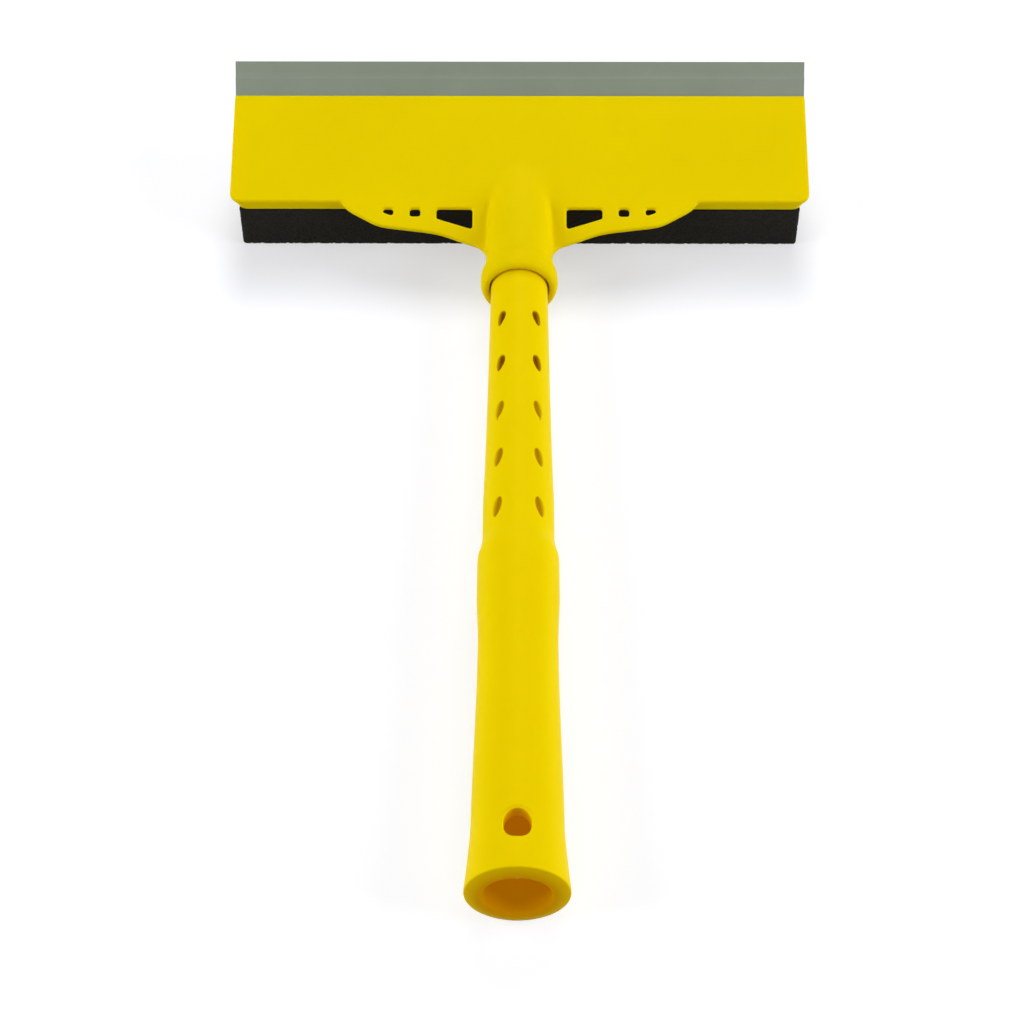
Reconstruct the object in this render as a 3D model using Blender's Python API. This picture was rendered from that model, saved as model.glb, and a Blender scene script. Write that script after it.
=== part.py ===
"""Window squeegee: rubber blade, foam sponge and push-in handle on a moulded head.

Everything is in metres, +Z up. The squeegee lies as it is put down: the foam and the
flared end of the handle rest on z = 0, the handle runs along -Y and the blade along X.
Sizes are first written in the head's own frame, whose y = 0 is the lower edge of the
face. The finished pieces are then moved by MID_Y, so that the origin is the middle of
the footprint.
"""
import math

import bmesh
import bpy
from mathutils import Matrix, Vector

# Fits and shared values
GAP = 0.0003                       # clearance between pieces that seat on each other
OVERRUN = 0.003                    # how far a cutter runs past what it cuts
WELD = 0.000006                    # points closer than this become one
ROUND_SIDES = 48                   # facets round the handle and the socket
CURVE_STEPS = 4                    # points between two given ones on a smooth curve
CORNER_STEPS = 5                   # facets round a corner of the head
SMOOTH_ANGLE = math.radians(32)

# Face plate: the sloping cover with its two wings
HEAD_WIDTH = 0.2004
FACE_LENGTH = 0.0424               # up the slope, lower edge to blade
FACE_SLOPE = math.radians(17.8)
FACE_EDGE_Z = 0.0216               # height of the lower edge of the face
PLATE_THICKNESS = 0.0020
PLATE_EDGE_RADIUS = 0.0006
FACE_CORNER_RADIUS = 0.0035

# Skirt under the face: tapered flanks and end cheeks
SKIRT_BOTTOM_Z = 0.0168
SKIRT_FRONT_Y = 0.0010             # the flank leans back this far at its bottom
SKIRT_END_TAPER = 0.0027           # and this far in at each end
SKIRT_WALL = 0.0024
CHEEK_INSET = 0.0002               # the cheeks stand this far inside the flanks
CHEEK_TOP_SHARE = 0.75             # depth of their front top, of the plate's thickness

# Wings: pierced webs from the face to the neck of the socket
WING_HALF_SPAN = 0.0617
WING_REACH = 0.0210                # down the slope, face edge to where it meets the neck
WING_EDGE_SHARES = (               # outer edge, as shares of half span and reach
    (1.000, 0.000), (0.965, 0.128), (0.890, 0.271), (0.768, 0.448), (0.619, 0.510),
    (0.470, 0.576), (0.303, 0.750), (0.222, 0.845), (0.194, 0.935), (0.180, 1.030),
    (0.150, 1.060))
WINDOW_REAR = 0.0025               # rear edge of every window, down the slope
WINDOW_CORNER_RADIUS = 0.0007
SLOT_WINDOW_CENTRE_X = 0.0360
SLOT_WINDOW_WIDTH = 0.0037
SLOT_WINDOW_LENGTH = 0.0030
POINT_WINDOW_INNER_X = 0.0435
POINT_WINDOW_WIDTH = 0.0036
POINT_WINDOW_LENGTH = 0.0029
POINT_WINDOW_OUTER_SHARE = 0.50    # length at its outer end, of the inner one
MAIN_WINDOW_INNER_X = 0.0162
MAIN_WINDOW_WIDTH = 0.0124
MAIN_WINDOW_LENGTH = 0.0080        # at its inner end
MAIN_WINDOW_OUTER_SHARE = 0.48

# Socket that takes the handle
AXIS_Z = 0.0149                    # height of the handle's axis
SOCKET_LENGTH = 0.0363             # rim to the lower edge of the face
SOCKET_DEPTH = 0.0343
SOCKET_END_WALL = 0.0026
SOCKET_BITE_SHARE = 0.80           # how deep it runs into the flank, of the flank's wall
NECK_RADIUS = 0.01145
COLLAR_RADIUS = 0.01305
COLLAR_LENGTH = 0.0163
COLLAR_EDGE = 0.0006
COLLAR_SHARES = (                  # along the collar from its rim, rise above the neck
    (0.037, 0.56), (0.170, 1.00), (0.328, 1.00), (0.464, 0.75), (0.600, 0.25),
    (0.736, 0.00), (0.849, 0.00), (1.000, 0.00))
ARCH_HALF_WIDTH = 0.0110           # the tube widens to an arch where it meets the face
ARCH_CREST = 0.0112                # above the axis
ARCH_CROWN_RADIUS = 0.0162
ARCH_SHARPNESS = 12                # how crisp the arch turns from crown to side
ARCH_BLEND = 0.0160                # length over which the round tube becomes the arch
ARCH_STEPS = 6
DOME_REACH = 0.0172                # how far the dome runs over the face
MOUTH_FLARE = 0.00055              # bell mouth at the rim
MOUTH_DEPTH = 0.0030

# Handle: one hollow moulding, from its spigot to the flared end
SPIGOT_ROOT_RADIUS = 0.00940
SPIGOT_END_RADIUS = 0.00910
SPIGOT_CHAMFER = 0.0008
SPIGOT_WALL = 0.0033
SHAFT_LENGTH = 0.1072              # socket's rim to the start of the shoulder
SHAFT_HEAD_RADIUS = 0.00955
SHAFT_TAIL_RADIUS = 0.01112
SHAFT_SHARES = ((0.50, 0.44), (0.75, 0.76), (0.90, 1.00))  # along it, share of its growth
SHAFT_WALL = 0.0045
SHOULDER_LENGTH = 0.0105
SHOULDER_RADIUS = 0.01256
SHOULDER_SHARES = ((0.36, 0.33), (0.73, 0.94))
GRIP_LENGTH = 0.0880
GRIP_CROWN_SHARE = 0.13            # of the grip's length, as wide as the shoulder
GRIP_WAIST_RADIUS = 0.01200
GRIP_WAIST_SHARE = 0.325           # of the grip's length
GRIP_TAIL_RADIUS = 0.01319
GRIP_WALL = 0.0034
FLARE_LENGTH = 0.02525
FLARE_SHARES = ((0.17, 0.03), (0.50, 0.35))
END_EDGE = 0.0005                  # rounding of the flared end's outer edge
END_BULGE = 0.0009                 # how far the end face stands out round the bore
MOUTH_EDGE = 0.0012                # rounding of the bore's mouth
POLE_BORE_RADIUS = 0.0093          # tapered bore for an extension pole
POLE_MOUTH_RADIUS = 0.0096
POLE_BORE_DEPTH = 0.0682

# Grip recesses on the shaft
RECESS_PAIRS = 5
RECESS_DEEP_PAIRS = 2
RECESS_PITCH = 0.0202              # also from the socket's rim to the first pair
RECESS_LENGTH = 0.0078
RECESS_WIDTH = 0.0031
RECESS_DEPTH = 0.0024
RECESS_SHALLOW_SHARE = 0.75        # depth of the other pairs, of the deep ones
RECESS_TAPER_SHARES = (1.25, 0.70)  # width of its nose and of its tail, of the plain oval
RECESS_ANGLE = math.radians(36.5)  # round the shaft from its top
RECESS_SLANT = math.radians(14.0)
RECESS_SECTIONS = 7
RECESS_SIDES = 10

# Hang hole through both walls of the flared end
HANG_HOLE_INSET = 0.01595          # its middle, from the handle's end
HANG_HOLE_WIDTH = 0.0078
HANG_HOLE_LENGTH = 0.0089
HANG_HOLE_SHARES = (               # of its half width and half length, narrow toward the head
    (0.20, 1.00), (0.48, 0.78), (0.70, 0.42), (0.88, 0.08), (1.00, -0.26),
    (0.90, -0.62), (0.62, -0.88), (0.23, -1.00))

# Rubber blade, measured from its working edge
BLADE_INSET = 0.0002               # each end stands this far inside the head's end
BLADE_ANGLE = math.radians(47.5)
LIP_THICKNESS = 0.0020
LIP_LENGTH = 0.0039
STEP_LENGTH = 0.0021
STEP_HEIGHT = 0.0006
BLADE_STANDOUT = 0.0116            # working edge to the mouth of its slot
SLOT_COVER = 0.0007                # what is left of the face over the slot's mouth
BEAD_SETBACK = 0.0064              # behind the mouth
BEAD_LENGTH = 0.0026
BEAD_PROUD = 0.0011
JAW_WALL = 0.0018                  # in front of the bead
JAW_LIP = 0.0016                   # under the blade at the mouth

# Sponge plate, the moulding that closes the head from below
FLOOR_THICKNESS = 0.0020
FLOOR_DEPTH = 0.0360
PEG_RADIUS = 0.0020
PEG_SIDES = 20
PEG_X_SHARES = (0.32, 0.80)        # of half the head's width
PEG_Y_SHARE = 0.625                # of the floor's depth
PEG_TIP_LIFT = 0.0008              # peg's tip above the floor
BOSS_WALL = 0.0018
RIB_THICKNESS = 0.0016
RIB_DEPTH = 0.0032
RIB_X_SHARES = (0.18, 0.46, 0.66)  # of half the head's width
RIB_END_SHARE = 0.75               # of the face's length

# Foam sponge
SPONGE_WIDTH = 0.1948
SPONGE_DEPTH = 0.0356
SPONGE_EDGE_RADIUS = 0.0006

# Colour (linear) and roughness of each sub-part
YELLOW = (0.81, 0.60, 0.002, 1.0)
SURFACES = {
    "head_shell": (YELLOW, 0.32),
    "sponge_plate": (YELLOW, 0.38),
    "handle": (YELLOW, 0.30),
    "blade": ((0.23, 0.25, 0.24, 1.0), 0.55),
    "sponge": ((0.012, 0.011, 0.009, 1.0), 0.95),
}


def slope_point(along, depth):
    """(y, z) of a point up the face's slope and below its surface."""
    cos_s, sin_s = math.cos(FACE_SLOPE), math.sin(FACE_SLOPE)
    return along * cos_s + depth * sin_s, FACE_EDGE_Z + along * sin_s - depth * cos_s


def slope_height(y, depth):
    """Height, at y, of the plane that lies depth below the face."""
    return FACE_EDGE_Z + y * math.tan(FACE_SLOPE) - depth / math.cos(FACE_SLOPE)


def blade_point(back, proud):
    """(y, z) of a point back from the working edge and proud of the lip's upper face.

    The slot's mouth opens at the rear edge of the face, so the blade hangs from there.
    """
    edge_y, edge_z = slope_point(FACE_LENGTH, 0)
    cos_b, sin_b = math.cos(BLADE_ANGLE), math.sin(BLADE_ANGLE)
    along = BLADE_STANDOUT - back
    above = proud - STEP_HEIGHT - GAP - SLOT_COVER
    return edge_y + along * cos_b - above * sin_b, edge_z + along * sin_b + above * cos_b


# Places that follow from the sizes above, in the head's frame
RIM_Y = -SOCKET_LENGTH
SOCKET_FLOOR_Y = RIM_Y + SOCKET_DEPTH
SPIGOT_TIP_Y = SOCKET_FLOOR_Y - GAP
SHAFT_TAIL_Y = RIM_Y - SHAFT_LENGTH
SHOULDER_Y = SHAFT_TAIL_Y - SHOULDER_LENGTH
GRIP_TAIL_Y = SHOULDER_Y - GRIP_LENGTH
FLARE_END_Y = GRIP_TAIL_Y - FLARE_LENGTH
END_Y = FLARE_END_Y - END_BULGE
END_RADIUS = AXIS_Z                # the flared end touches the table
FLOOR_REAR_Y = SKIRT_FRONT_Y + FLOOR_DEPTH
FLOOR_TOP_Z = SKIRT_BOTTOM_Z + FLOOR_THICKNESS
PEG_Y = SKIRT_FRONT_Y + FLOOR_DEPTH * PEG_Y_SHARE
BLADE_LOW = -LIP_THICKNESS - STEP_HEIGHT
MID_Y = (blade_point(0, -LIP_THICKNESS)[0] + END_Y) / 2


def clear_scene():
    for obj in list(bpy.data.objects):
        bpy.data.objects.remove(obj, do_unlink=True)


def new_object(name, bm):
    bmesh.ops.recalc_face_normals(bm, faces=bm.faces)
    mesh = bpy.data.meshes.new(name)
    bm.to_mesh(mesh)
    bm.free()
    obj = bpy.data.objects.new(name, mesh)
    bpy.context.collection.objects.link(obj)
    return obj


def combine(target, tool, operation):
    """Boolean the tool into the target and remove the tool."""
    modifier = target.modifiers.new("boolean", "BOOLEAN")
    modifier.operation = operation
    modifier.solver = "EXACT"
    modifier.object = tool
    bpy.context.view_layer.update()
    graph = bpy.context.evaluated_depsgraph_get()
    mesh = bpy.data.meshes.new_from_object(target.evaluated_get(graph))
    target.modifiers.clear()
    target.data = mesh
    bpy.data.objects.remove(tool, do_unlink=True)


def prism(name, profile, x_from, x_to):
    """Extrude a (y, z) profile along X."""
    bm = bmesh.new()
    ring = [bm.verts.new((x_from, y, z)) for y, z in profile]
    face = bm.faces.new(ring)
    moved = bmesh.ops.extrude_face_region(bm, geom=[face])["geom"]
    verts = [item for item in moved if isinstance(item, bmesh.types.BMVert)]
    bmesh.ops.translate(bm, verts=verts, vec=(x_to - x_from, 0, 0))
    return new_object(name, bm)


def loft(name, rings, closed_loop=False):
    """Bridge rings of equal length. An open stack is capped at both ends."""
    bm = bmesh.new()
    loops = [[bm.verts.new(point) for point in ring] for ring in rings]
    count = len(loops[0])
    pairs = list(zip(loops, loops[1:]))
    if closed_loop:
        pairs.append((loops[-1], loops[0]))
    for lower, upper in pairs:
        for i in range(count):
            j = (i + 1) % count
            bm.faces.new((lower[i], lower[j], upper[j], upper[i]))
    if not closed_loop:
        bm.faces.new(loops[0])
        bm.faces.new(loops[-1])
    return new_object(name, bm)


def post(name, x, y, radius, z_from, z_to):
    """A round post along Z."""
    steps = [2 * math.pi * i / PEG_SIDES for i in range(PEG_SIDES)]
    return loft(name, [[(x + radius * math.cos(a), y + radius * math.sin(a), z) for a in steps]
                       for z in (z_from, z_to)])


def circle(y, radius):
    """A ring round the handle's axis, with a corner at the very bottom."""
    steps = [2 * math.pi * i / ROUND_SIDES for i in range(ROUND_SIDES)]
    return [(radius * math.sin(a), y, AXIS_Z + radius * math.cos(a)) for a in steps]


def smooth_curve(points, steps):
    """Smooth curve through (u, v) points, with steps between each two.

    Its direction at a point is the harmonic mean of the slopes beside it, so the curve
    never swings past the points that it joins.
    """
    spans = [math.dist(a, b) for a, b in zip(points, points[1:])]
    slopes = [[(q - p) / span for p, q in zip(a, b)]
              for a, b, span in zip(points, points[1:], spans)]
    tangents = [slopes[0]]
    for before, after in zip(slopes, slopes[1:]):
        tangents.append([2 * p * q / (p + q) if p * q > 0 else 0 for p, q in zip(before, after)])
    tangents.append(slopes[-1])
    curve = []
    for i, span in enumerate(spans):
        for k in range(steps):
            t = k / steps
            curve.append(tuple(
                p + (q - p) * t * t * (3 - 2 * t) + span * t * (1 - t) * (m * (1 - t) - n * t)
                for p, q, m, n in zip(points[i], points[i + 1], tangents[i], tangents[i + 1])))
    curve.append(points[-1])
    return curve


def round_corners(points, radius, steps=3):
    """Replace each corner of a closed outline by an arc."""
    outline = []
    count = len(points)
    for i, point in enumerate(points):
        here = Vector(point)
        before = (Vector(points[i - 1]) - here).normalized()
        after = (Vector(points[(i + 1) % count]) - here).normalized()
        half = before.angle(after) / 2
        reach = radius / math.tan(half)
        centre = here + (before + after).normalized() * radius / math.sin(half)
        first = here + before * reach - centre
        turn = first.angle_signed(here + after * reach - centre)
        for k in range(steps + 1):
            spoke = first.copy()
            spoke.rotate(Matrix.Rotation(-turn * k / steps, 2))
            outline.append(tuple(centre + spoke))
    return outline


def inset_outline(points, inset):
    """Move every side of a closed clockwise outline inwards."""
    result = []
    count = len(points)
    for i, point in enumerate(points):
        here = Vector(point)
        before = (here - Vector(points[i - 1])).normalized()
        after = (Vector(points[(i + 1) % count]) - here).normalized()
        inward = -(before + after).orthogonal().normalized()
        result.append(tuple(here - inward * inset / inward.dot(before.orthogonal())))
    return result


def slope_rings(outline, steps):
    """Rings of an outline (x, up the slope), one for each (inset, depth)."""
    rings = []
    for inset, depth in steps:
        rings.append([(x,) + slope_point(t, depth) for x, t in inset_outline(outline, inset)])
    return rings


def mirrored(outline):
    """The same outline on the other side, still clockwise."""
    return [(-x, t) for x, t in reversed(outline)]


def plate_outline():
    """Outline of the face and its wings, as (x, up the slope)."""
    half = HEAD_WIDTH / 2
    r = FACE_CORNER_RADIUS
    angles = [-math.pi / 2 * i / CORNER_STEPS for i in range(CORNER_STEPS + 1)]
    corner = [(half - r + r * math.cos(a), r + r * math.sin(a)) for a in angles]
    wing = [(WING_HALF_SPAN * u, -WING_REACH * v) for u, v in WING_EDGE_SHARES]
    right = [(half, FACE_LENGTH)] + corner + smooth_curve(wing, CURVE_STEPS)
    return right + mirrored(right)


def window_outline(inner, width, inner_length, outer_share):
    """One window, as (x, up the slope): its front edge may slant toward the outside."""
    outer = inner + width
    return round_corners([(inner, -WINDOW_REAR), (outer, -WINDOW_REAR),
                          (outer, -WINDOW_REAR - inner_length * outer_share),
                          (inner, -WINDOW_REAR - inner_length)], WINDOW_CORNER_RADIUS)


def face_plate():
    """The face and both wings: one flat outline with windows and soft edges."""
    r = PLATE_EDGE_RADIUS
    chamfer = r * (1 - math.sqrt(0.5))
    far = PLATE_THICKNESS
    edge = [(r, 0), (chamfer, chamfer), (0, r), (0, far - r), (chamfer, far - chamfer), (r, far)]
    hole = [(-2 * r, -r), (-chamfer, chamfer), (0, r),
            (0, far - r), (-chamfer, far - chamfer), (-2 * r, far + r)]
    plate = loft("face_plate", slope_rings(plate_outline(), edge))
    slot_inner = SLOT_WINDOW_CENTRE_X - SLOT_WINDOW_WIDTH / 2
    windows = [
        window_outline(slot_inner, SLOT_WINDOW_WIDTH, SLOT_WINDOW_LENGTH, 1),
        window_outline(POINT_WINDOW_INNER_X, POINT_WINDOW_WIDTH, POINT_WINDOW_LENGTH,
                       POINT_WINDOW_OUTER_SHARE),
        window_outline(MAIN_WINDOW_INNER_X, MAIN_WINDOW_WIDTH, MAIN_WINDOW_LENGTH,
                       MAIN_WINDOW_OUTER_SHARE),
    ]
    for outline in windows:
        for side in (outline, mirrored(outline)):
            combine(plate, loft("window", slope_rings(side, hole)), "DIFFERENCE")
    return plate


def skirt():
    """Tapered flanks and end cheeks, open above and below."""
    half = HEAD_WIDTH / 2
    cos_s, sin_s = math.cos(FACE_SLOPE), math.sin(FACE_SLOPE)
    drop = FACE_EDGE_Z - SKIRT_BOTTOM_Z
    top_depth = PLATE_THICKNESS / 2
    low_depth = drop * cos_s + SKIRT_FRONT_Y * sin_s
    low_front = SKIRT_FRONT_Y * cos_s - drop * sin_s
    rear = FACE_LENGTH - PLATE_EDGE_RADIUS
    rings = []
    for depth, front, inset in ((top_depth, PLATE_EDGE_RADIUS / 4, PLATE_EDGE_RADIUS),
                                (low_depth, low_front, SKIRT_END_TAPER)):
        wide = half - inset
        outline = round_corners([(-wide, front), (wide, front), (wide, rear), (-wide, rear)],
                                FACE_CORNER_RADIUS - PLATE_EDGE_RADIUS, CORNER_STEPS)
        rings.append([(x,) + slope_point(t, depth) for x, t in outline])
    frame = loft("skirt", rings)
    cheek = half - SKIRT_END_TAPER - CHEEK_INSET
    sides = [(SKIRT_FRONT_Y + SKIRT_WALL / 2, SKIRT_BOTTOM_Z),
             (FLOOR_REAR_Y, SKIRT_BOTTOM_Z),
             blade_point(BLADE_STANDOUT, BLADE_LOW - GAP - JAW_LIP),
             slope_point(FACE_LENGTH - SKIRT_WALL, top_depth),
             slope_point(SKIRT_WALL, PLATE_THICKNESS * CHEEK_TOP_SHARE)]
    combine(frame, prism("cheeks", sides, -cheek, cheek), "UNION")
    inner = cheek - SKIRT_WALL
    front_y = SKIRT_FRONT_Y + SKIRT_WALL
    far_y = blade_point(0, -LIP_THICKNESS)[0]
    below = SKIRT_BOTTOM_Z - OVERRUN
    hollow = [(front_y, below), (front_y, slope_height(front_y, 0)),
              (far_y, slope_height(far_y, 0)), (far_y, below)]
    combine(frame, prism("hollow", hollow, -inner, inner), "DIFFERENCE")
    return frame


def arch_radius(angle):
    """Radius of the arched section at an angle from its crest."""
    if abs(angle) >= math.pi / 2:
        return ARCH_HALF_WIDTH
    drop = ARCH_CROWN_RADIUS - ARCH_CREST
    crown = math.sqrt(ARCH_CROWN_RADIUS ** 2 - (drop * math.sin(angle)) ** 2) \
        - drop * math.cos(angle)
    side = abs(math.sin(angle)) / ARCH_HALF_WIDTH
    n = ARCH_SHARPNESS
    return (crown ** -n + side ** n) ** (-1 / n)


def socket_ring(y, radius):
    """A section of the socket: round at the collar, arched where it meets the face."""
    share = min(max((y - RIM_Y - COLLAR_LENGTH) / ARCH_BLEND, 0), 1)
    share = share * share * (3 - 2 * share)
    ring = []
    for i in range(ROUND_SIDES):
        angle = 2 * math.pi * i / ROUND_SIDES
        from_crest = math.atan2(math.sin(angle), math.cos(angle))
        r = radius + (arch_radius(from_crest) - radius) * share
        ring.append((r * math.sin(angle), y, AXIS_Z + r * math.cos(angle)))
    return ring


def socket():
    """Collar, neck and the dome that runs out on the face."""
    rise = COLLAR_RADIUS - NECK_RADIUS
    profile = [(RIM_Y + COLLAR_LENGTH * along, NECK_RADIUS + rise * up)
               for along, up in COLLAR_SHARES]
    stations = [(RIM_Y, profile[0][1] - COLLAR_EDGE)] + smooth_curve(profile, CURVE_STEPS // 2)
    arch_y = RIM_Y + COLLAR_LENGTH
    stations += [(arch_y + ARCH_BLEND * (i + 1) / ARCH_STEPS, NECK_RADIUS)
                 for i in range(ARCH_STEPS)]
    end_y = SOCKET_FLOOR_Y + SOCKET_END_WALL
    stations += [(end_y, NECK_RADIUS), (DOME_REACH, NECK_RADIUS)]
    body = loft("socket", [socket_ring(y, r) for y, r in stations])
    wide = COLLAR_RADIUS + OVERRUN
    wall_y = SKIRT_FRONT_Y + SKIRT_WALL * SOCKET_BITE_SHARE
    below = AXIS_Z - wide
    under = SKIRT_BOTTOM_Z + GAP
    far_y = DOME_REACH + OVERRUN
    mid = PLATE_THICKNESS / 2
    waste = [(end_y, below), (end_y, under), (wall_y, under), (wall_y, slope_height(wall_y, mid)),
             (far_y, slope_height(far_y, mid)), (far_y, below)]
    combine(body, prism("waste", waste, -wide, wide), "DIFFERENCE")
    return body


def bore_tool():
    """What the handle's spigot and the bell mouth take out of the socket."""
    rim = SPIGOT_ROOT_RADIUS + GAP
    end = SPIGOT_END_RADIUS + GAP
    return loft("bore", [circle(RIM_Y - OVERRUN, rim + MOUTH_FLARE),
                         circle(RIM_Y + MOUTH_DEPTH / 3, rim + MOUTH_FLARE),
                         circle(RIM_Y + MOUTH_DEPTH, rim),
                         circle(SOCKET_FLOOR_Y, end)])


def bead_profile(top, low, start, end):
    """The four outer corners of the blade's bead, upper ones first."""
    return [blade_point(start, top), blade_point(end, top),
            blade_point(end, low), blade_point(start, low)]


def blade_channel():
    """The space that the blade needs, with its clearance, right through the head."""
    top = STEP_HEIGHT + GAP
    low = BLADE_LOW - GAP
    start = BLADE_STANDOUT + BEAD_SETBACK - GAP
    end = BLADE_STANDOUT + BEAD_SETBACK + BEAD_LENGTH + GAP
    profile = [blade_point(0, top), blade_point(start, top)] \
        + bead_profile(top + BEAD_PROUD, low - BEAD_PROUD, start, end) \
        + [blade_point(start, low), blade_point(0, low)]
    wide = HEAD_WIDTH / 2 + OVERRUN
    return prism("channel", profile, -wide, wide)


def jaw_corner(parting):
    """Where the two halves of the jaw meet in front of the bead."""
    return blade_point(BLADE_STANDOUT + BEAD_SETBACK + BEAD_LENGTH + GAP + JAW_WALL, parting)


def upper_jaw():
    """The rib under the face that holds the blade's bead from above and in front."""
    parting = (GAP - LIP_THICKNESS) / 2
    mid = PLATE_THICKNESS / 2
    inner = HEAD_WIDTH / 2 - SKIRT_END_TAPER - SKIRT_WALL / 2
    rear_y = slope_point(FACE_LENGTH - PLATE_EDGE_RADIUS, mid)[0]
    front_y = jaw_corner(parting)[0] - JAW_WALL
    profile = [jaw_corner(parting), blade_point(BLADE_STANDOUT, parting),
               (rear_y, slope_height(rear_y, mid)), (front_y, slope_height(front_y, mid))]
    return prism("upper_jaw", profile, -inner, inner)


def rib(x):
    """A stiffening rib under the face, from the flank toward the jaw."""
    mid = PLATE_THICKNESS / 2
    low = mid + RIB_DEPTH
    start = SKIRT_FRONT_Y + SKIRT_WALL / 2
    end = slope_point(FACE_LENGTH * RIB_END_SHARE, mid)[0]
    start_low = max(slope_height(start, low), FLOOR_TOP_Z + GAP)
    return prism("rib", [(start, slope_height(start, mid)), (start, start_low),
                         (end, slope_height(end, low)), (end, slope_height(end, mid))],
                 x - RIB_THICKNESS / 2, x + RIB_THICKNESS / 2)


def across_head(shares):
    """X places on both sides of the head, from shares of half its width."""
    return [side * share * HEAD_WIDTH / 2 for side in (-1, 1) for share in shares]


def head_shell():
    """Face, wings, skirt, jaw, ribs, pegs and socket: one moulding."""
    shell = skirt()
    combine(shell, face_plate(), "UNION")
    combine(shell, upper_jaw(), "UNION")
    for x in across_head(RIB_X_SHARES):
        combine(shell, rib(x), "UNION")
    peg_top = slope_height(PEG_Y, PLATE_THICKNESS / 2)
    for x in across_head(PEG_X_SHARES):
        combine(shell, post("peg", x, PEG_Y, PEG_RADIUS, FLOOR_TOP_Z + PEG_TIP_LIFT, peg_top),
                "UNION")
    combine(shell, socket(), "UNION")
    combine(shell, bore_tool(), "DIFFERENCE")
    combine(shell, blade_channel(), "DIFFERENCE")
    shell.name = "head_shell"
    return shell


def sponge_plate():
    """Floor, lower jaw and bosses: it closes the head and carries the foam."""
    parting = -(GAP + LIP_THICKNESS) / 2
    front_y = SKIRT_FRONT_Y + SKIRT_WALL + GAP
    corner = jaw_corner(parting)
    profile = [(front_y, SKIRT_BOTTOM_Z), (FLOOR_REAR_Y, SKIRT_BOTTOM_Z),
               blade_point(BLADE_STANDOUT, BLADE_LOW - GAP - JAW_LIP),
               blade_point(BLADE_STANDOUT, parting), corner,
               (corner[0], FLOOR_TOP_Z), (front_y, FLOOR_TOP_Z)]
    inner = HEAD_WIDTH / 2 - SKIRT_END_TAPER - CHEEK_INSET - SKIRT_WALL - GAP
    plate = prism("sponge_plate", profile, -inner, inner)
    bore = PEG_RADIUS + GAP
    boss_radius = bore + BOSS_WALL
    boss_top = slope_height(PEG_Y - boss_radius, PLATE_THICKNESS) - GAP
    for x in across_head(PEG_X_SHARES):
        boss = post("boss", x, PEG_Y, boss_radius, FLOOR_TOP_Z - FLOOR_THICKNESS / 2, boss_top)
        combine(plate, boss, "UNION")
        hole = post("hole", x, PEG_Y, bore, FLOOR_TOP_Z + PEG_TIP_LIFT - GAP, boss_top + OVERRUN)
        combine(plate, hole, "DIFFERENCE")
    combine(plate, blade_channel(), "DIFFERENCE")
    plate.name = "sponge_plate"
    return plate


def blade():
    """Rubber extrusion: thin lip, stepped back and a bead that locks in the slot."""
    bend = LIP_LENGTH + STEP_LENGTH / 2
    step_end = LIP_LENGTH + STEP_LENGTH
    start = BLADE_STANDOUT + BEAD_SETBACK
    profile = [blade_point(0, 0), blade_point(LIP_LENGTH, 0),
               blade_point(bend, STEP_HEIGHT / 4), blade_point(step_end, STEP_HEIGHT),
               blade_point(start, STEP_HEIGHT)]
    profile += bead_profile(STEP_HEIGHT + BEAD_PROUD, BLADE_LOW - BEAD_PROUD,
                            start, start + BEAD_LENGTH)
    profile += [blade_point(start, BLADE_LOW), blade_point(step_end, BLADE_LOW),
                blade_point(bend, -LIP_THICKNESS - STEP_HEIGHT / 4),
                blade_point(LIP_LENGTH, -LIP_THICKNESS), blade_point(0, -LIP_THICKNESS)]
    half = HEAD_WIDTH / 2 - BLADE_INSET
    return prism("blade", profile, -half, half)


def sponge():
    """Foam block under the head, its lower edges rounded."""
    r = SPONGE_EDGE_RADIUS
    front, rear = SKIRT_FRONT_Y, SKIRT_FRONT_Y + SPONGE_DEPTH
    half = SPONGE_WIDTH / 2
    levels = [(r * (1 - math.sin(a)), r * (1 - math.cos(a)))
              for a in (0, math.pi / 6, math.pi / 3, math.pi / 2)]
    rings = []
    for inset, z in levels + [(0, SKIRT_BOTTOM_Z - GAP)]:
        outline = round_corners([(-half + inset, front + inset), (half - inset, front + inset),
                                 (half - inset, rear - inset), (-half + inset, rear - inset)],
                                r * 2 - inset)
        rings.append([(x, y, z) for x, y in outline])
    return loft("sponge", rings)


def swelling(y, length, start, end, shares):
    """(y, radius) of a stretch of the handle: its start, then each share of its rise."""
    return [(y, start)] + [(y - length * along, start + (end - start) * up)
                           for along, up in shares]


def handle_profile():
    """(y, radius) down the outside of the handle, from the spigot to the flared end."""
    spigot = [(SPIGOT_TIP_Y, SPIGOT_END_RADIUS - SPIGOT_CHAMFER),
              (SPIGOT_TIP_Y - SPIGOT_CHAMFER, SPIGOT_END_RADIUS),
              (RIM_Y + MOUTH_DEPTH, SPIGOT_ROOT_RADIUS)]
    shaft = swelling(RIM_Y, SHAFT_LENGTH, SHAFT_HEAD_RADIUS, SHAFT_TAIL_RADIUS, SHAFT_SHARES)
    shoulder = swelling(SHAFT_TAIL_Y, SHOULDER_LENGTH, SHAFT_TAIL_RADIUS, SHOULDER_RADIUS,
                        SHOULDER_SHARES)
    grip = [(SHOULDER_Y, SHOULDER_RADIUS),
            (SHOULDER_Y - GRIP_LENGTH * GRIP_CROWN_SHARE, SHOULDER_RADIUS),
            (SHOULDER_Y - GRIP_LENGTH * GRIP_WAIST_SHARE, GRIP_WAIST_RADIUS)]
    flare = swelling(GRIP_TAIL_Y, FLARE_LENGTH, GRIP_TAIL_RADIUS, END_RADIUS, FLARE_SHARES)
    rim = [(FLARE_END_Y + END_EDGE, END_RADIUS)]
    return spigot + smooth_curve(shaft + shoulder + grip + flare + rim, CURVE_STEPS)


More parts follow.
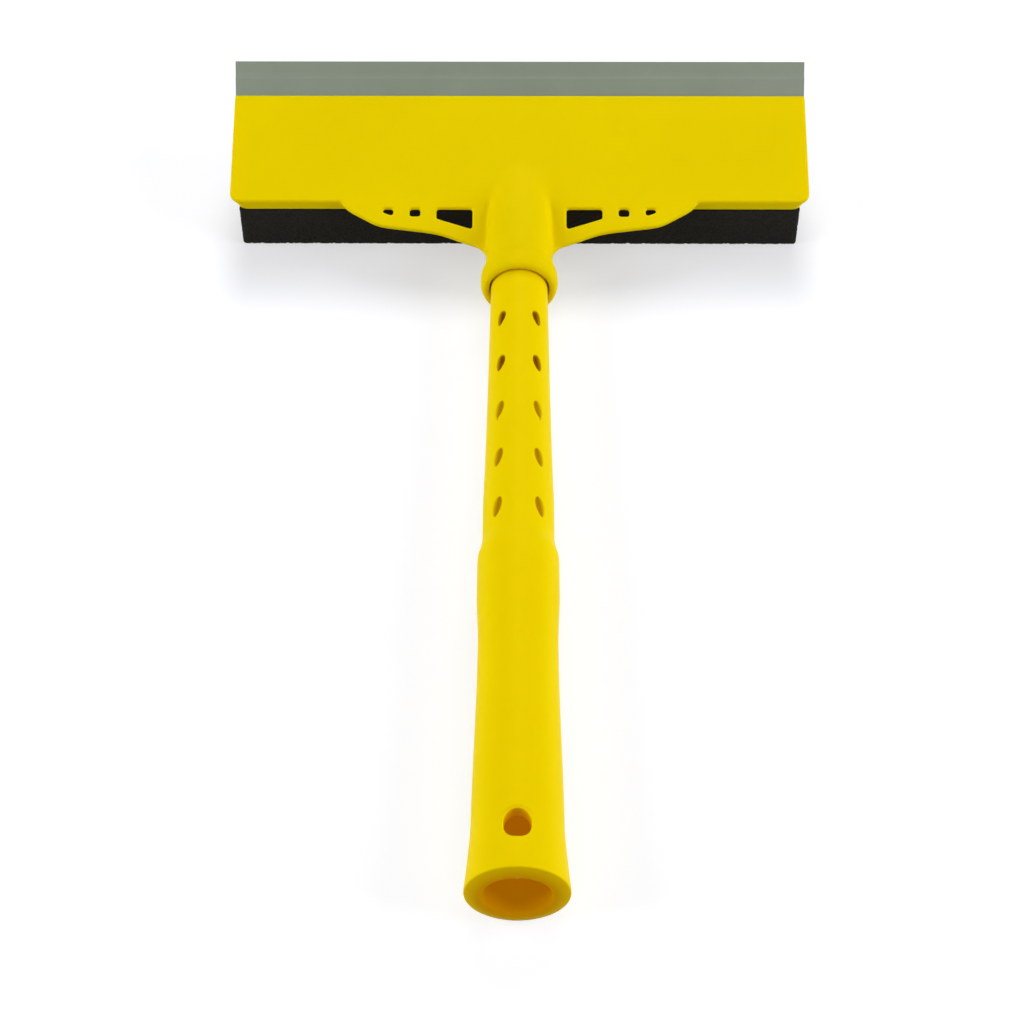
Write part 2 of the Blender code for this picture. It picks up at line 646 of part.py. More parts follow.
def handle_end():
    """(y, radius) round the end face, from the flared rim in to the pole bore's mouth."""
    soft = 1 - math.sqrt(0.5)
    return [(FLARE_END_Y + END_EDGE * soft, END_RADIUS - END_EDGE * soft),
            (FLARE_END_Y, END_RADIUS - END_EDGE),
            (END_Y, POLE_MOUTH_RADIUS + MOUTH_EDGE),
            (END_Y + MOUTH_EDGE * soft, POLE_MOUTH_RADIUS + MOUTH_EDGE * soft),
            (END_Y + MOUTH_EDGE, POLE_MOUTH_RADIUS)]


def handle_bore():
    """(y, radius) of the hollow, from the pole bore's stop back to the spigot."""
    stop_y = END_Y + POLE_BORE_DEPTH
    inner = GRIP_WAIST_RADIUS - GRIP_WALL
    return [(stop_y, POLE_BORE_RADIUS), (stop_y + POLE_BORE_RADIUS - inner, inner),
            (SHOULDER_Y, inner), (SHAFT_TAIL_Y, SHAFT_TAIL_RADIUS - SHAFT_WALL),
            (SPIGOT_TIP_Y, SPIGOT_END_RADIUS - SPIGOT_WALL)]


def radius_at(profile, y):
    """Radius of a profile at y, between its nearest two points."""
    for (y0, r0), (y1, r1) in zip(profile, profile[1:]):
        if y1 <= y <= y0:
            return r0 + (r1 - r0) * (y0 - y) / (y0 - y1)
    return profile[-1][1]


def recess_tool(y, side, depth, surface_radius):
    """A teardrop dish: round toward the head, pointed and slanting out below."""
    nose, tail = RECESS_TAPER_SHARES
    turns = [2 * math.pi * k / RECESS_SIDES for k in range(RECESS_SIDES)]
    rings = []
    for i in range(RECESS_SECTIONS):
        t = (i + 0.5) / RECESS_SECTIONS
        swell = 2 * math.sqrt(t * (1 - t)) * (nose + (tail - nose) * t)
        along = RECESS_LENGTH * (0.5 - t)
        rings.append([(RECESS_WIDTH / 2 * swell * math.cos(a), along, depth * swell * math.sin(a))
                      for a in turns])
    tool = loft("recess", rings)
    tool.data.transform(Matrix.Translation((0, y, AXIS_Z))
                        @ Matrix.Rotation(side * RECESS_ANGLE, 4, "Y")
                        @ Matrix.Translation((0, 0, surface_radius))
                        @ Matrix.Rotation(side * RECESS_SLANT, 4, "Z"))
    return tool


def hang_hole_tool():
    """An egg-shaped post, its narrow side toward the head."""
    half, back = HANG_HOLE_WIDTH / 2, HANG_HOLE_LENGTH / 2
    middle = END_Y + HANG_HOLE_INSET
    right = [(half * u, middle + back * v) for u, v in HANG_HOLE_SHARES]
    reach = END_RADIUS + OVERRUN
    return loft("hang_hole", [[(x, y, z) for x, y in right + mirrored(right)]
                              for z in (AXIS_Z - reach, AXIS_Z + reach)])


def handle():
    """The hollow turned body, with its recesses and the hang hole cut in."""
    outer = handle_profile()
    profile = outer + handle_end() + handle_bore()
    body = loft("handle", [circle(y, r) for y, r in profile], closed_loop=True)
    for pair in range(RECESS_PAIRS):
        y = RIM_Y - RECESS_PITCH * (pair + 1)
        share = 1 if pair < RECESS_DEEP_PAIRS else RECESS_SHALLOW_SHARE
        for side in (-1, 1):
            tool = recess_tool(y, side, RECESS_DEPTH * share, radius_at(outer, y))
            combine(body, tool, "DIFFERENCE")
    combine(body, hang_hole_tool(), "DIFFERENCE")
    body.name = "handle"
    return body


def surface(name):
    """The sub-part's own material."""
    colour, roughness = SURFACES[name]
    block = bpy.data.materials.new(name)
    block.use_nodes = True
    shader = block.node_tree.nodes["Principled BSDF"]
    shader.inputs["Base Color"].default_value = colour
    shader.inputs["Roughness"].default_value = roughness
    shader.inputs["Metallic"].default_value = 0
    block.diffuse_color = colour
    return block


def finish(obj, origin):
    """Clean the mesh, then set the origin, the place, the shading and the material."""
    bm = bmesh.new()
    bm.from_mesh(obj.data)
    bmesh.ops.remove_doubles(bm, verts=bm.verts, dist=WELD)
    bmesh.ops.dissolve_degenerate(bm, edges=bm.edges, dist=WELD)
    bmesh.ops.triangulate(bm, faces=bm.faces)
    bm.to_mesh(obj.data)
    bm.free()
    obj.data.transform(Matrix.Translation(-Vector(origin)))
    obj.location = Vector(origin) - Vector((0, MID_Y, 0))
    obj.data.shade_smooth()
    obj.data.set_sharp_from_angle(angle=SMOOTH_ANGLE)
    obj.data.materials.clear()
    obj.data.materials.append(surface(obj.name))


def main():
    clear_scene()
    mouth_y, mouth_z = blade_point(BLADE_STANDOUT, 0)
    finish(head_shell(), (0, 0, SKIRT_BOTTOM_Z))
    finish(sponge_plate(), (0, 0, SKIRT_BOTTOM_Z))
    finish(sponge(), (0, SKIRT_FRONT_Y, 0))
    finish(blade(), (0, mouth_y, mouth_z))
    finish(handle(), (0, RIM_Y, AXIS_Z))


main()
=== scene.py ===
# %% [markdown]
# # Dressing a window squeegee
# The object is a household window squeegee: a yellow moulded head, a grey rubber blade, a
# black foam pad and a hollow handle that pushes into the head. Its solids are already made,
# at their real size, and they stay where they are. This file gives them their looks.
# The solids are read first, because every piece below is measured from them.

# %% Load the solids
import math

import bmesh
import bpy
import numpy as np
from mathutils import Matrix, Vector


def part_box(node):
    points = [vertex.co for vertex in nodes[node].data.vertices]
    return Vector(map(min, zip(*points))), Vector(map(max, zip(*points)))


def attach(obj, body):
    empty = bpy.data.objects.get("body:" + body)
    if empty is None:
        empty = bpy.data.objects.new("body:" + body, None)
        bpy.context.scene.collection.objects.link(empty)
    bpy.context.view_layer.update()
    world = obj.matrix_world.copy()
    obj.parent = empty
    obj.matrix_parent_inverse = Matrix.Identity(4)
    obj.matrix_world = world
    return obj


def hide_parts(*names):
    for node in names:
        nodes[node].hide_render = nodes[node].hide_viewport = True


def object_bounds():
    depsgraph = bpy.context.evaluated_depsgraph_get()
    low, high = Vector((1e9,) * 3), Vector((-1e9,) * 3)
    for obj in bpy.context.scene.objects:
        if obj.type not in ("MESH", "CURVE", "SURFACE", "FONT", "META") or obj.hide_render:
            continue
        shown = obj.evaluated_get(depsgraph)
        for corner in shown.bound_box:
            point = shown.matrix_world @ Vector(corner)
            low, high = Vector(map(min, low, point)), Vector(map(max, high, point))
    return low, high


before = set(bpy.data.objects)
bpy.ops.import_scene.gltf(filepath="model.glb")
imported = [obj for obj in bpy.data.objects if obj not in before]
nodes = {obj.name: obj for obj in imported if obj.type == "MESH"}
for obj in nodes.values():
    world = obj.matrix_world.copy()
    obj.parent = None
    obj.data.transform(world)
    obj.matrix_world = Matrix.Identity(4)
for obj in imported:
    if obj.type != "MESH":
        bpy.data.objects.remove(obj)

MM = 0.001
CAD_LOW, CAD_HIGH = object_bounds()
size = (CAD_HIGH - CAD_LOW) / MM
print("Solids:", sorted(nodes), "size in mm:", [round(v, 1) for v in size])

# %% [markdown]
# ## The camera
# The photograph looks down on the squeegee from behind its handle, at about 51 degrees. The
# camera is written as a place, three angles and a focal length, so that each can be read and
# changed by itself. Its axes are built from the angles, which keeps the small roll exact.

# %% Place the camera
CAMERA_PLACE = Vector((0.98, -475.66, 574.05)) * MM
CAMERA_PITCH = math.radians(51.044)        # below the horizon
CAMERA_YAW = math.radians(-0.382)
CAMERA_ROLL = math.radians(-0.178)
CAMERA_LENS = 81.24                        # in mm, on a sensor 36 mm wide

lens = bpy.data.cameras.new("photo_camera")
lens.lens = CAMERA_LENS
lens.sensor_width = 36.0
camera = bpy.data.objects.new("photo_camera", lens)
bpy.context.scene.collection.objects.link(camera)
forward = Vector((math.sin(CAMERA_YAW) * math.cos(CAMERA_PITCH),
                  math.cos(CAMERA_YAW) * math.cos(CAMERA_PITCH), -math.sin(CAMERA_PITCH)))
right = forward.cross(Vector((0, 0, 1))).normalized()
right.rotate(Matrix.Rotation(-CAMERA_ROLL, 3, forward))
up = right.cross(forward)
facing = Matrix((right, up, -forward)).transposed().to_4x4()
camera.matrix_world = Matrix.Translation(CAMERA_PLACE) @ facing
bpy.context.scene.camera = camera
print("Camera looks along", [round(v, 3) for v in forward])

# %% [markdown]
# ## Small tools for nodes and colours
# A material or a Geometry Nodes tree is a list of nodes and of links between them. One short
# function adds a node, sets its properties, and fills its inputs with numbers or links, so
# that each tree below reads like a recipe. Colours are written as a screen shows them, and
# turned to the linear values that the renderer works with.

# %% Helpers for nodes and colours
def add(tree, kind, inputs=None, **settings):
    """Add a node. An input takes a number, a socket, or another node's first output."""
    node = tree.nodes.new(kind)
    for name, value in settings.items():
        setattr(node, name, value)
    for key, value in (inputs or {}).items():
        if isinstance(value, bpy.types.Node):
            value = next(socket for socket in value.outputs if socket.enabled)
        if isinstance(value, bpy.types.NodeSocket):
            tree.links.new(value, node.inputs[key])
        else:
            node.inputs[key].default_value = value
    return node


def linear(colour):
    """Linear RGBA from an sRGB hex colour such as E6CE00."""
    parts = [int(colour[i:i + 2], 16) / 255 for i in (0, 2, 4)]
    return [c / 12.92 if c <= 0.04045 else ((c + 0.055) / 1.055) ** 2.4 for c in parts] + [1.0]


print("Yellow E6CE00 is", [round(v, 3) for v in linear("E6CE00")])


# %% [markdown]
# ## Moulded polypropylene
# The head, the sponge plate and the handle are injection-moulded polypropylene, coloured
# right through. It has a low satin gloss, a very faint orange-peel skin from the steel mould, and
# soft tone changes where the melt flowed. Light goes a few millimetres into it, so its edges
# glow a little. Its hollows look orange, because light that bounces between yellow walls
# loses its green at each bounce, and daylight also comes through the wall of the handle into
# its bore. A renderer needs very many bounces for that, so shade and glow are painted in here
# by two attributes that a mesh can carry: recess for small dishes, which get a painted
# orange-brown shade, and bore for the inside, which gets a painted shade and a painted glow and
# fades out over the end face and over the edge of the hang hole. The bore is also quite dull,
# as the steel core that shapes it isn't polished.

# %% Yellow plastic
ORANGE_PEEL = 1.1 * MM
FLOW_MARKS = 60 * MM
SCUFF_WIDTH = 2.0 * MM
GLOW_DEPTH = 3.0 * MM
PAINTED_GLOW_STRENGTH = 0.36                        # brightness of the light that comes through
SATIN_GLOSS = 0.018                        # low, so that the lamps leave no white spots
RECESS_PAINTED_SHADE, BORE_PAINTED_SHADE, PAINTED_GLOW_TINT = "A86800", "AE8400", "CA7E00"


def moulded_plastic(name, base, shade, roughness):
    """Satin polypropylene with flow marks, orange peel and fine scuffs, and painted shade and glow in
    its hollows.
    """
    block = bpy.data.materials.new(name)
    block.use_nodes = True
    tree = block.node_tree
    shader = tree.nodes["Principled BSDF"]
    place = add(tree, "ShaderNodeTexCoord").outputs["Object"]
    flow = add(tree, "ShaderNodeTexNoise",
               {"Vector": place, "Scale": 1 / FLOW_MARKS, "Detail": 3.0, "Distortion": 0.8})
    tone = add(tree, "ShaderNodeMapRange",
               {"Value": flow.outputs["Fac"], "From Min": 0.35, "From Max": 0.68})
    skin = add(tree, "ShaderNodeMix", {0: tone, 6: linear(base), 7: linear(shade)},
               data_type="RGBA")
    # Painted shade: recess and bore mix in darker orange tints, which stand in for light bouncing
    # between yellow walls.
    recess = add(tree, "ShaderNodeAttribute", attribute_name="recess").outputs["Fac"]
    dished = add(tree, "ShaderNodeMix", {0: recess, 6: skin.outputs[2], 7: linear(RECESS_PAINTED_SHADE)},
                 data_type="RGBA")
    bore = add(tree, "ShaderNodeAttribute", attribute_name="bore").outputs["Fac"]
    colour = add(tree, "ShaderNodeMix", {0: bore, 6: dished.outputs[2], 7: linear(BORE_PAINTED_SHADE)},
                 data_type="RGBA")
    tree.links.new(colour.outputs[2], shader.inputs["Base Color"])
    # Painted glow: the bore emits light, which stands in for daylight coming through the wall.
    through = add(tree, "ShaderNodeMath", {0: bore, 1: PAINTED_GLOW_STRENGTH}, operation="MULTIPLY")
    tree.links.new(through.outputs[0], shader.inputs["Emission Strength"])
    shader.inputs["Emission Color"].default_value = linear(PAINTED_GLOW_TINT)
    scuffs = add(tree, "ShaderNodeTexNoise",
                 {"Vector": place, "Scale": 1 / SCUFF_WIDTH, "Detail": 6.0, "Roughness": 0.7})
    rough = add(tree, "ShaderNodeMapRange",
                {"Value": scuffs.outputs["Fac"], "From Min": 0.3, "From Max": 0.75,
                 "To Min": roughness - 0.05, "To Max": roughness + 0.09})
    tree.links.new(rough.outputs[0], shader.inputs["Roughness"])
    peel = add(tree, "ShaderNodeTexNoise",
               {"Vector": place, "Scale": 1 / ORANGE_PEEL, "Detail": 2.0})
    bump = add(tree, "ShaderNodeBump",
               {"Height": peel.outputs["Fac"], "Strength": 0.12, "Distance": 0.05 * MM})
    tree.links.new(bump.outputs[0], shader.inputs["Normal"])
    gloss = add(tree, "ShaderNodeMapRange", {"Value": bore, "To Min": SATIN_GLOSS, "To Max": 0.0})
    tree.links.new(gloss.outputs[0], shader.inputs["Specular IOR Level"])
    shader.inputs["IOR"].default_value = 1.49
    shader.inputs["Specular Tint"].default_value = (1.0, 0.85, 0.12, 1.0)
    shader.inputs["Subsurface Weight"].default_value = 0.3
    shader.inputs["Subsurface Radius"].default_value = (1.0, 0.7, 0.05)
    shader.inputs["Subsurface Scale"].default_value = GLOW_DEPTH
    return block


HEAD_PLASTIC = moulded_plastic("moulded_polypropylene_head", "F1D600", "EED200", 0.42)
HANDLE_PLASTIC = moulded_plastic("moulded_polypropylene_handle", "F8DA00", "F5D600", 0.40)
PLATE_PLASTIC = moulded_plastic("moulded_polypropylene_plate", "E6CC00", "DCC000", 0.42)
print("Plastics:", HEAD_PLASTIC.name, HANDLE_PLASTIC.name, PLATE_PLASTIC.name)


# %% [markdown]
# ## Extruded rubber
# The blade is a grey rubber strip, pushed through a die. That leaves very fine straight lines
# along its length, a matt skin, and a faint bloom of paler powder. A noise texture that is
# stretched a hundred times along X makes the lines. A picture of rubber would show its seams
# where it repeats, and noise has none.

# %% Grey rubber
DIE_LINES = 0.45 * MM
BLOOM_WIDTH = 18 * MM


def extruded_rubber():
    block = bpy.data.materials.new("extruded_grey_rubber")
    block.use_nodes = True
    tree = block.node_tree
    shader = tree.nodes["Principled BSDF"]
    place = add(tree, "ShaderNodeTexCoord").outputs["Object"]
    along = add(tree, "ShaderNodeMapping", {"Vector": place, "Scale": (0.01, 1.0, 1.0)})
    lines = add(tree, "ShaderNodeTexNoise",
                {"Vector": along, "Scale": 1 / DIE_LINES, "Detail": 2.0})
    bloom = add(tree, "ShaderNodeTexNoise",
                {"Vector": place, "Scale": 1 / BLOOM_WIDTH, "Detail": 4.0, "Roughness": 0.6})
    colour = add(tree, "ShaderNodeMix", data_type="RGBA")
    tree.links.new(bloom.outputs["Fac"], colour.inputs[0])
    colour.inputs[6].default_value = linear("7B8575")
    colour.inputs[7].default_value = linear("869081")
    tree.links.new(colour.outputs[2], shader.inputs["Base Color"])
    bump = add(tree, "ShaderNodeBump",
               {"Height": lines.outputs["Fac"], "Strength": 0.25, "Distance": 0.05 * MM})
    tree.links.new(bump.outputs[0], shader.inputs["Normal"])
    shader.inputs["Roughness"].default_value = 0.55
    shader.inputs["IOR"].default_value = 1.52
    return block


RUBBER = extruded_rubber()
print("Rubber:", RUBBER.name)


# %% [markdown]
# ## Open-cell foam
# The pad is black polyurethane foam. Its cut cells make it very dark and quite matt, with a
# faint grey sheen on the ends of the cell walls that catch the light. A Voronoi texture
# divides space as packed bubbles do, so its distance to the edge of a cell sets both the
# colour and the bump. The colour is a painted sheen and painted shade: lighter on the cell
# walls, darker in the pits between them.

# %% Black foam
CELL = 1.3 * MM


def open_cell_foam():
    block = bpy.data.materials.new("open_cell_black_foam")
    block.use_nodes = True
    tree = block.node_tree
    shader = tree.nodes["Principled BSDF"]
    place = add(tree, "ShaderNodeTexCoord").outputs["Object"]
    cells = add(tree, "ShaderNodeTexVoronoi", {"Vector": place, "Scale": 1 / CELL},
                feature="DISTANCE_TO_EDGE")
    # Painted sheen on the cell walls and painted shade in the pits.
    walls = add(tree, "ShaderNodeMapRange",
                {"Value": cells.outputs["Distance"], "From Min": 0.0, "From Max": 0.25})
    colour = add(tree, "ShaderNodeMix", data_type="RGBA")
    tree.links.new(walls.outputs[0], colour.inputs[0])
    colour.inputs[6].default_value = linear("1F1C16")
    colour.inputs[7].default_value = linear("12110D")
    tree.links.new(colour.outputs[2], shader.inputs["Base Color"])
    bump = add(tree, "ShaderNodeBump",
               {"Height": cells.outputs["Distance"], "Strength": 0.3, "Distance": 0.2 * MM})
    tree.links.new(bump.outputs[0], shader.inputs["Normal"])
    shader.inputs["Roughness"].default_value = 0.95
    shader.inputs["Specular IOR Level"].default_value = 0.25
    return block


FOAM = open_cell_foam()
print("Foam:", FOAM.name)


# %% [markdown]
# ## Reading a drawing from a solid
# A designer who makes a finer copy of a part starts from its section. Here the solid itself
# is cut by a plane, and the cut is walked edge by edge. That gives the ordered outline of
# the handle's wall, of its hang hole, and of the rubber blade, with no number copied by hand.
# The walk can start anywhere and go either way. So the handle's outline is put in one order,
# and its finer copy comes out the same in every run.

# %% Merge and slice a solid
MERGE_WITHIN = 0.002 * MM
ON_PLANE = 0.001 * MM
STRAIGHT_WITHIN = math.radians(4)
HOLE_SLICE = 3.2 * MM                      # below the handle's top, in the wall over the bore


def merged(node):
    """A bmesh of a solid, with its loose triangles joined."""
    bm = bmesh.new()
    bm.from_mesh(nodes[node].data)
    bmesh.ops.remove_doubles(bm, verts=bm.verts, dist=MERGE_WITHIN)
    return bm


def slice_outlines(node, point, normal):
    """The closed outlines where a plane cuts a solid, each a list of points in order."""
    bm = merged(node)
    cut = bmesh.ops.bisect_plane(bm, geom=bm.verts[:] + bm.edges[:] + bm.faces[:],
                                 dist=ON_PLANE, plane_co=point, plane_no=normal)
    edges = dict.fromkeys(e for e in cut["geom_cut"] if isinstance(e, bmesh.types.BMEdge))
    outlines = []
    while edges:
        first = next(iter(edges))
        del edges[first]
        loop = [first.verts[0], first.verts[1]]
        while loop[-1] is not loop[0]:
            step = next((e for e in loop[-1].link_edges if e in edges), None)
            if step is None:
                break
            del edges[step]
            loop.append(step.other_vert(loop[-1]))
        outlines.append([v.co.copy() for v in loop[:-1]])
    bm.free()
    return outlines


def corners(outline):
    """The outline without the points that lie on its straight runs."""
    kept = []
    for i, point in enumerate(outline):
        before, after = point - outline[i - 1], outline[(i + 1) % len(outline)] - point
        if before.angle(after) > STRAIGHT_WITHIN:
            kept.append(point)
    return kept


def one_way_round(outline):
    """The same closed outline, always in one direction and from its lowest point."""
    area = sum(a[0] * b[1] - b[0] * a[1] for a, b in zip(outline, outline[1:] + outline[:1]))
    ordered = outline if area < 0 else outline[::-1]
    first = ordered.index(min(ordered))
    return ordered[first:] + ordered[:first]


RIM_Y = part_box("head_shell")[0].y
handle_low, handle_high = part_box("handle")
AXIS_Z = (handle_low.z + handle_high.z) / 2
END_Y = handle_low.y
walls = slice_outlines("handle", (0, 0, AXIS_Z), (0, 0, 1))
wall = max((w for w in walls if w[0].x > 0), key=len)
section = one_way_round([(p.y, p.x) for p in wall])
over_bore = handle_high.z - HOLE_SLICE
hole = corners(min(slice_outlines("handle", (0, 0, over_bore), (0, 0, 1)), key=len))
HOLE_LOW, HOLE_HIGH = min(p.y for p in hole), max(p.y for p in hole)
HOLE_Y = (HOLE_LOW + HOLE_HIGH) / 2
print("Section:", len(section), "points. Axis at", round(AXIS_Z / MM, 2), "mm. Hang hole:",
      len(hole), "points,", round((HOLE_HIGH - HOLE_LOW) / MM, 2), "mm long.")


# %% [markdown]
# ## Making meshes and running node trees
# Every piece below ends as one plain mesh at the origin. One function makes the object, one
# makes an empty Geometry Nodes tree with named inputs, and one runs a tree on an object and
# keeps its result.

# %% Helpers for pieces
def new_object(name, mesh, material):
    obj = bpy.data.objects.new(name, mesh)
    bpy.context.scene.collection.objects.link(obj)
    obj.data.materials.clear()
    obj.data.materials.append(material)
    return obj


def settle(obj):
    """Replace the object's mesh by what its modifiers make, and drop them."""
    bpy.context.view_layer.update()
    graph = bpy.context.evaluated_depsgraph_get()
    mesh = bpy.data.meshes.new_from_object(obj.evaluated_get(graph))
    obj.modifiers.clear()
    obj.data = mesh


def new_tree(name, inputs):
    """An empty Geometry Nodes tree with named inputs, and its first and last nodes."""
    tree = bpy.data.node_groups.new(name, "GeometryNodeTree")
    tree.interface.new_socket("Geometry", in_out="INPUT", socket_type="NodeSocketGeometry")
    for label in inputs:
        kind = "NodeSocketMaterial" if label == "Material" else "NodeSocketFloat"
        tree.interface.new_socket(label, in_out="INPUT", socket_type=kind)
    tree.interface.new_socket("Geometry", in_out="OUTPUT", socket_type="NodeSocketGeometry")
    return tree, tree.nodes.new("NodeGroupInput"), tree.nodes.new("NodeGroupOutput")


def run_tree(obj, tree, values):
    """Run a tree on an object with these values, and keep the mesh that it makes."""
    modifier = obj.modifiers.new(tree.name, "NODES")
    modifier.node_group = tree
    for item in tree.interface.items_tree:
        if item.name in values:
            modifier[item.identifier] = values[item.name]
    settle(obj)


def smooth_shading(obj, degrees):
    obj.data.shade_smooth()
    obj.data.set_sharp_from_angle(angle=math.radians(degrees))


def report(obj):
    mesh = obj.data
    mesh.calc_loop_triangles()
    print(obj.name + ":", len(mesh.loop_triangles), "triangles")


# %% [markdown]
# ## The handle's section, made finer
# The solid's section has a point every few millimetres. A finer copy runs a smooth curve
# through the same points. At each point the curve takes the harmonic mean of the slopes
# beside it, so it never swings past them. It takes small steps where the recesses and the
# hang hole will be, and long ones along the plain walls.

# %% Refine the section
PAIRS = 5
DEEP_PAIRS = 2
PITCH = 20.2 * MM
RECESS_LENGTH = 7.5 * MM
RECESS_WIDTH = 3.5 * MM
RECESS_DEPTH = 2.1 * MM
RECESS_REACH = 4.8 * MM                    # fine rings this far each way from its middle
RECESS_STEP = 0.28 * MM
HOLE_REACH = 6 * MM
HOLE_STEP = 0.5 * MM
WIDE_STEP, NARROW_STEP = 1.6 * MM, 3.2 * MM
SHAFT_SKIN = 9.0 * MM                      # the shaft's outside is wider than this
WIDE_RADIUS = 9.3 * MM


def ring_step(y, radius):
    """How far apart the rings lie, at a place on the section."""
    back = RIM_Y - y
    nearest = min(max(round(back / PITCH), 1), PAIRS) * PITCH
    if radius > SHAFT_SKIN and abs(back - nearest) < RECESS_REACH:
        return RECESS_STEP
    if abs(y - HOLE_Y) < HOLE_REACH:
        return HOLE_STEP
    return WIDE_STEP if radius > WIDE_RADIUS else NARROW_STEP


def refined(outline):
    """A closed outline with more points, on a smooth curve through the given ones."""
    here = np.array(outline)
    there = np.roll(here, -1, axis=0)
    spans = np.linalg.norm(there - here, axis=1)
    slopes = (there - here) / spans[:, None]
    before = np.roll(slopes, 1, axis=0)
    same_way = before * slopes > 1e-9
    tangents = np.zeros_like(slopes)
    tangents[same_way] = (2 * before * slopes)[same_way] / (before + slopes)[same_way]
    ends = np.roll(tangents, -1, axis=0)
    curve = []
    for a, b, m, n, span in zip(here, there, tangents, ends, spans):
        t = 0.0
        while t < 0.999:
            point = a + (b - a) * t * t * (3 - 2 * t) + span * t * (1 - t) * (m * (1 - t) - n * t)
            curve.append(tuple(point))
            step = min(ring_step(*point) / span, 0.25)
            t = t + step if t + 1.4 * step < 1 else 1.0
    return curve


fine_section = refined(section)
HOLE_RADIUS = max(r for y, r in fine_section if abs(y - HOLE_Y) < 1 * MM)
print("Finer section:", len(fine_section), "points. Radius at the hole:",
      round(HOLE_RADIUS / MM, 2), "mm")

# %% [markdown]
# ## Turning the handle
# The section is turned round the axis like work on a lathe. A moulder's core and cavity are
# turned the same way, so the wall is as thick all round. A Screw modifier would also do it,
# with even turns. Here the angles are closer together over the two lines of recesses, about
# 36 degrees to each side of the top, and the triangles go where there is something to shape.

# %% Turn the handle
crest = list(np.arange(0, 16, 2.8))        # degrees from the top
over_recesses = list(np.arange(17, 56, 0.95))
half_turn = crest + over_recesses + list(np.linspace(57, 180, 40))
ANGLES = [math.radians(a) for a in half_turn + [-a for a in half_turn[-2:0:-1]]]


def turned(name, outline, angles):
    """A closed outline of (y, radius) turned round the handle's axis."""
    points = [(r * math.sin(a), y, AXIS_Z + r * math.cos(a)) for y, r in outline for a in angles]
    rows, columns = len(outline), len(angles)
    faces = []
    for i in range(rows):
        for j in range(columns):
            i2, j2 = (i + 1) % rows, (j + 1) % columns
            faces.append((i * columns + j, i2 * columns + j, i2 * columns + j2, i * columns + j2))
    mesh = bpy.data.meshes.new(name)
    mesh.from_pydata(points, [], faces)
    return mesh


def outward(mesh):
    bm = bmesh.new()
    bm.from_mesh(mesh)
    bmesh.ops.recalc_face_normals(bm, faces=bm.faces)
    bm.to_mesh(mesh)
    bm.free()


handle_mesh = turned("turned_handle", fine_section, ANGLES)
outward(handle_mesh)
handle = new_object("turned_handle", handle_mesh, HANDLE_PLASTIC)
report(handle)

# %% [markdown]
# ## The hang hole
# The squeegee hangs on a hook by this hole. A post goes through both walls and is cut away.
# Its outline is an egg between the ends of the solid's own hole. A bevel of the cut edge would
# be the same all round, but the edge here is rounder toward the head. So the post's upper
# rings follow the round surface and widen as they leave it.

# %% Cut the hang hole
FULLNESS = 0.8                             # power of the egg's fuller half
HOLE_FLARE = (                             # height over the skin and widening, in mm
    (-2.4, 0.0), (-0.75, 0.0), (-0.3, 0.12), (-0.08, 0.30), (0.25, 0.62), (3.0, 0.9))
HEAD_LEAN, END_LEAN = 1.5, 0.7             # shares of the widening, on each side
POST_OVERRUN = 3 * MM


def walls_between(rings, sides):
    """The faces between each ring of points and the next."""
    return [(k * sides + i, k * sides + (i + 1) % sides,
             (k + 1) * sides + (i + 1) % sides, (k + 1) * sides + i)
            for k in range(rings - 1) for i in range(sides)]


def egg(half_width, low, high, sides=32):
    """A closed oval, rounder toward the head and fuller toward the handle's end."""
    middle, half_length = (low + high) / 2, (high - low) / 2
    outline = []
    for k in range(sides):
        angle = 2 * math.pi * k / sides
        power = 1.0 if math.sin(angle) > 0 else FULLNESS
        x = math.copysign(abs(math.cos(angle)) ** power, math.cos(angle))
        y = math.copysign(abs(math.sin(angle)) ** power, math.sin(angle))
        outline.append(Vector((x * half_width, middle + y * half_length)))
    return outline


def hang_hole_cutter():
    """A post in the shape of the hang hole, flared where it leaves the wall."""
    outline = egg(max(p.x for p in hole), HOLE_LOW, HOLE_HIGH)
    sides = len(outline)
    rings = []
    for lift, flare in HOLE_FLARE:
        ring = []
        for p in outline:
            lean = HEAD_LEAN if p.y > HOLE_Y else END_LEAN
            out = Vector((p.x, p.y - HOLE_Y)).normalized() * flare * lean * MM
            x, y = p.x + out.x, p.y + out.y
            ring.append((x, y, AXIS_Z + math.sqrt(HOLE_RADIUS ** 2 - x * x) + lift * MM))
        rings.append(ring)
    low = [(p.x, p.y, AXIS_Z - HOLE_RADIUS - POST_OVERRUN) for p in outline]
    points = low + [q for ring in rings for q in ring]
    ends = [tuple(range(sides)), tuple(range(len(points) - sides, len(points)))]
    mesh = bpy.data.meshes.new("hang_hole_cutter")
    mesh.from_pydata(points, [], ends + walls_between(len(rings) + 1, sides))
    return mesh


def cut_away(obj, tool_mesh):
    """Cut a closed tool out of a piece, and drop the tool."""
    outward(tool_mesh)
    tool = new_object("cutter", tool_mesh, obj.data.materials[0])
    modifier = obj.modifiers.new("cut", "BOOLEAN")
    modifier.operation = "DIFFERENCE"
    modifier.solver = "EXACT"
    modifier.object = tool
    settle(obj)
    bpy.data.objects.remove(tool, do_unlink=True)


cut_away(handle, hang_hole_cutter())
report(handle)

# %% [markdown]
# ## Ten teardrop recesses
# Five pairs of dishes give the fingers a hold on the wet shaft. They follow one rule, so a
# Geometry Nodes tree makes them all. Ten cutters would leave sharp rims and ragged triangles,
# while a tree that moves the points keeps the skin whole. It first turns every point of the
# handle into two distances on the skin: how far it lies along the nearest teardrop, and how
# far across.

